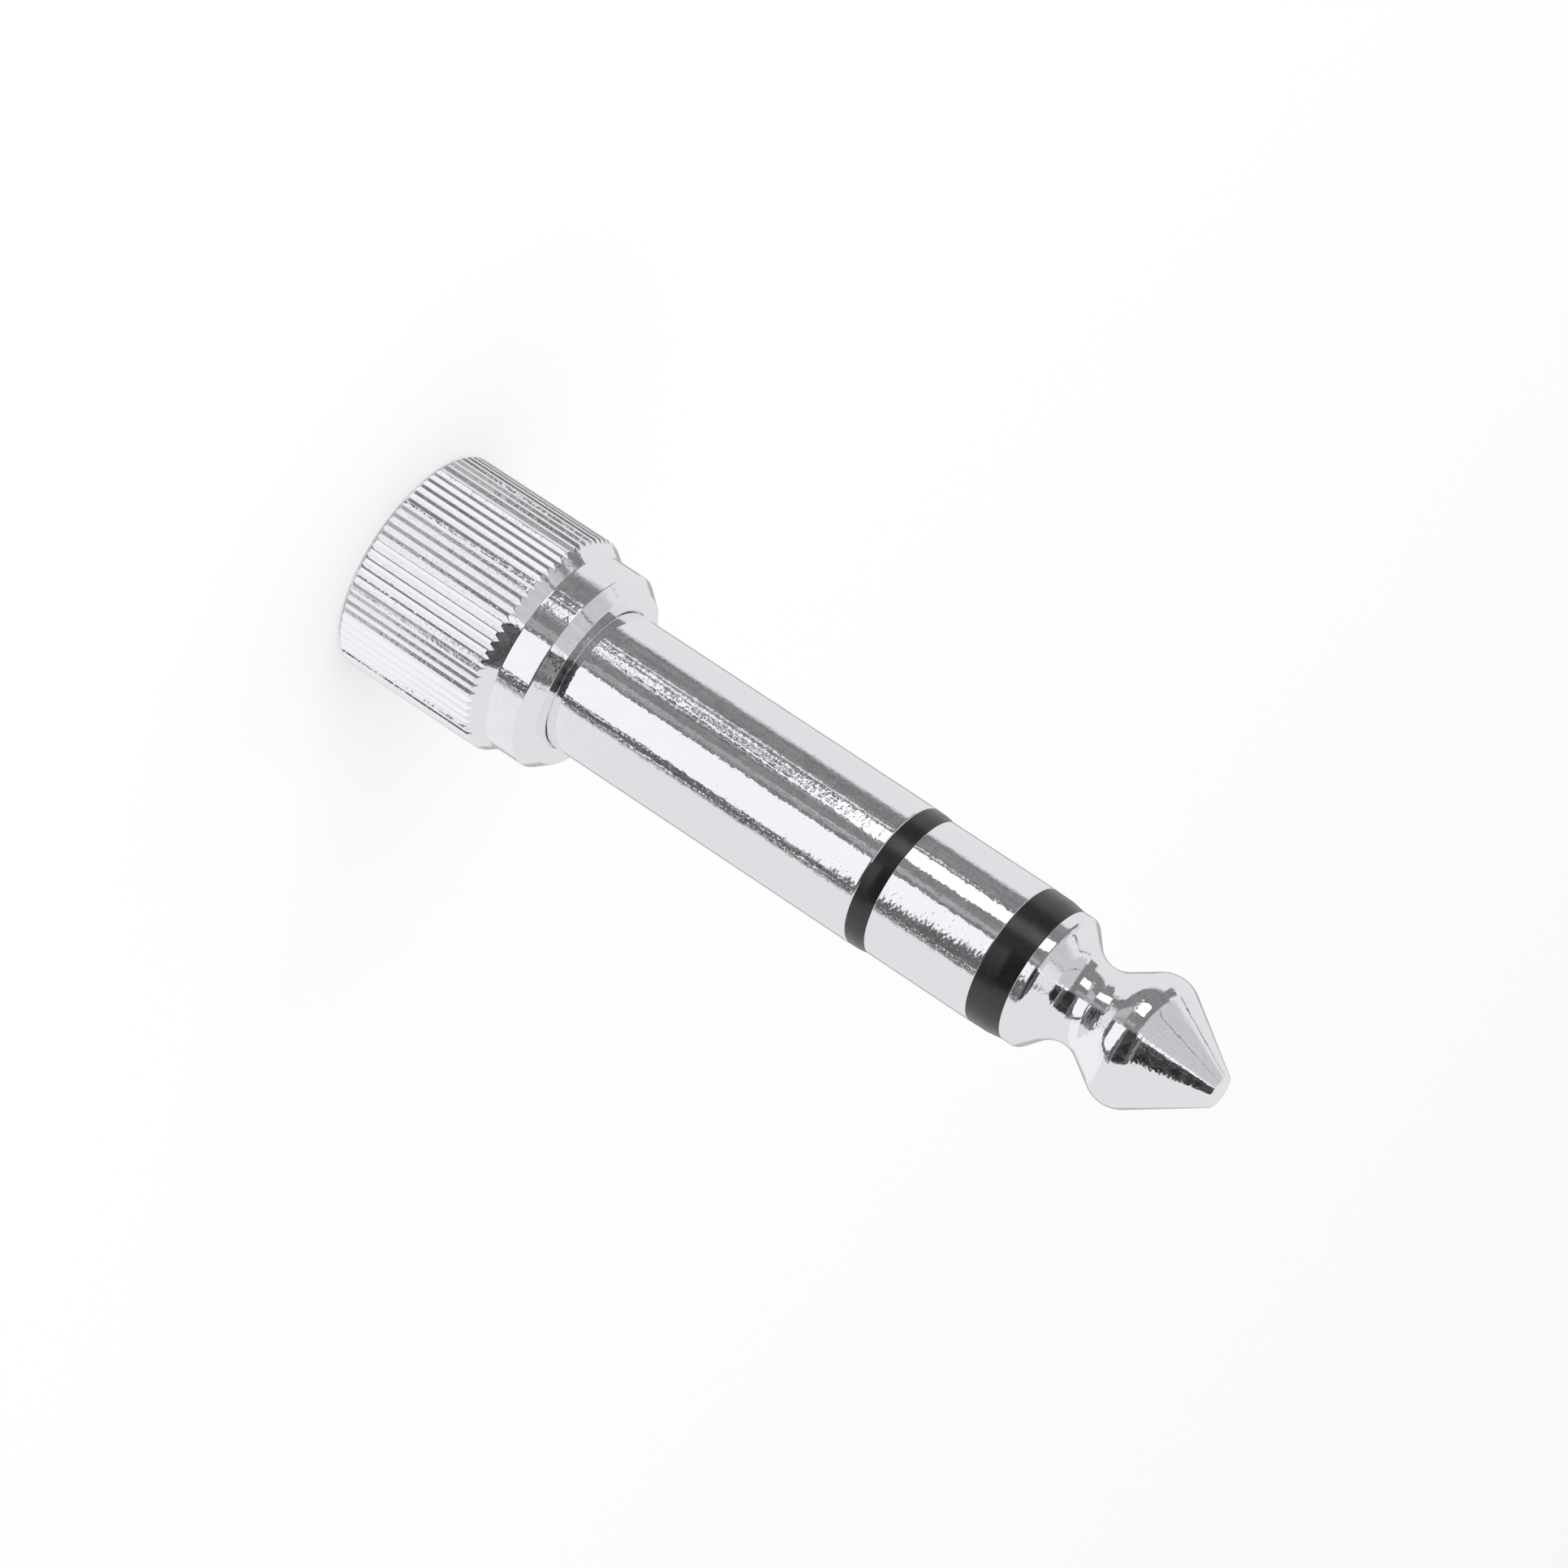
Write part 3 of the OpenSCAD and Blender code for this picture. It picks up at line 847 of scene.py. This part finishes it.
def panel_mask(tree, bearing, height, sides, ends, slope):
    left, left_soft, right_edge, right_soft = sides
    low, low_soft, high, high_soft = ends
    across = math_node(
        tree, "MULTIPLY", soft_step(tree, bearing, left, left_soft, True),
        soft_step(tree, bearing, right_edge, right_soft, False))
    top_height = height
    if slope:
        lean = math_node(tree, "MULTIPLY", math_node(tree, "MAXIMUM", bearing, 0.0), slope)
        top_height = math_node(tree, "ADD", height, lean)
    upright = math_node(
        tree, "MULTIPLY", soft_step(tree, height, low, low_soft, True),
        soft_step(tree, top_height, high, high_soft, False))
    return math_node(tree, "MULTIPLY", across, upright)


def tent_material():
    material = bpy.data.materials.new("light_tent")
    material.use_nodes = True
    tree = material.node_tree
    tree.nodes.clear()
    space = tree.nodes.new("ShaderNodeTexCoord").outputs["Object"]
    split = tree.nodes.new("ShaderNodeSeparateXYZ")
    tree.links.new(space, split.inputs[0])
    x, y, z = split.outputs
    bearing = math_node(tree, "ARCTAN2", x, math_node(tree, "MULTIPLY", y, -1.0))
    bearing = math_node(tree, "MULTIPLY", bearing, math.degrees(1))
    rise = math_node(tree, "DIVIDE", math_node(tree, "SUBTRACT", z, TENT_Z * MM), TENT_R * MM)
    height = math_node(tree, "MULTIPLY", math_node(tree, "ARCSINE", rise), math.degrees(1))
    creases = noise_at(tree, space, 200, 3.0)
    tears = noise_at(tree, space, 200, 0.0)
    fold = map_range(tree, creases.outputs["Fac"], -0.75, 1.75)
    colour = mix_color(tree, fold, PALE, PALE)
    for name, sides, ends, slope, torn, tone, cloud in panels:
        mask = panel_mask(tree, bearing, height, sides, ends, slope)
        if torn:
            spots = soft_step(tree, tears.outputs["Fac"], torn, 0.05, True)
            mask = math_node(tree, "MULTIPLY", mask, spots)
        cloth = mix_color(
            tree, fold, [t * (1 - cloud) for t in tone], [t * (1 + cloud) for t in tone])
        mix = tree.nodes.new("ShaderNodeMix")
        mix.label = name
        mix.data_type = "RGBA"
        tree.links.new(mask, mix.inputs["Factor"])
        tree.links.new(colour, mix.inputs["A"])
        tree.links.new(cloth, mix.inputs["B"])
        colour = mix.outputs["Result"]
    glow = tree.nodes.new("ShaderNodeEmission")
    tree.links.new(colour, glow.inputs["Color"])
    out = tree.nodes.new("ShaderNodeOutputMaterial")
    tree.links.new(glow.outputs[0], out.inputs["Surface"])
    return material


tent.data.materials.append(tent_material())
print("tent panels:", len(panels))

# %% [markdown]
# The floor is plain white paper. To the camera it adds a little light of its own to what falls
# on it, just enough to read as white while a soft shadow still shows. Metal doesn't see the
# floor at all, because the tent stands in for everything round the adapter.

# %% Floor, world and lamp
floor_data = bpy.data.meshes.new("floor")
floor_half = 1.5
floor_data.from_pydata(
    [(-floor_half, -floor_half, 0), (floor_half, -floor_half, 0),
     (floor_half, floor_half, 0), (-floor_half, floor_half, 0)],
    [], [(0, 1, 2, 3)])
floor = bpy.data.objects.new("floor", floor_data)
bpy.context.scene.collection.objects.link(floor)
floor.visible_glossy = False

paper = bpy.data.materials.new("paper")
paper.use_nodes = True
tree = paper.node_tree
tree.nodes.clear()
path = tree.nodes.new("ShaderNodeLightPath")
seen = math_node(tree, "MAXIMUM", path.outputs["Is Camera Ray"], path.outputs["Is Glossy Ray"])
seen = math_node(tree, "MAXIMUM", seen, path.outputs["Is Transmission Ray"])
diffuse = tree.nodes.new("ShaderNodeBsdfDiffuse")
diffuse.inputs["Color"].default_value = (0.82, 0.82, 0.82, 1)
paper_lift = 0.30
lift = tree.nodes.new("ShaderNodeEmission")
lift.inputs["Color"].default_value = (1, 1, 1, 1)
tree.links.new(math_node(tree, "MULTIPLY", seen, paper_lift), lift.inputs["Strength"])
both = tree.nodes.new("ShaderNodeAddShader")
tree.links.new(diffuse.outputs[0], both.inputs[0])
tree.links.new(lift.outputs[0], both.inputs[1])
out = tree.nodes.new("ShaderNodeOutputMaterial")
tree.links.new(both.outputs[0], out.inputs["Surface"])
floor_data.materials.append(paper)

world = bpy.data.worlds.new("studio")
world.use_nodes = True
world.node_tree.nodes["Background"].inputs["Color"].default_value = (1, 1, 1, 1)
world.node_tree.nodes["Background"].inputs["Strength"].default_value = 0.75
bpy.context.scene.world = world

lamp_data = bpy.data.lights.new("key", "AREA")
lamp_data.shape = "DISK"
lamp_data.size = 0.25
lamp_data.energy = 0.25
lamp = bpy.data.objects.new("key", lamp_data)
bpy.context.scene.collection.objects.link(lamp)
lamp.location = (-0.12, -0.2, 0.3)
lamp.rotation_euler = (Vector((0, 0, 0.02)) - lamp.location).to_track_quat("-Z", "Y").to_euler()
lamp.visible_glossy = False

bpy.context.scene.view_settings.view_transform = "Standard"
print("floor", floor.name, "world", world.name, "lamp", lamp.name)
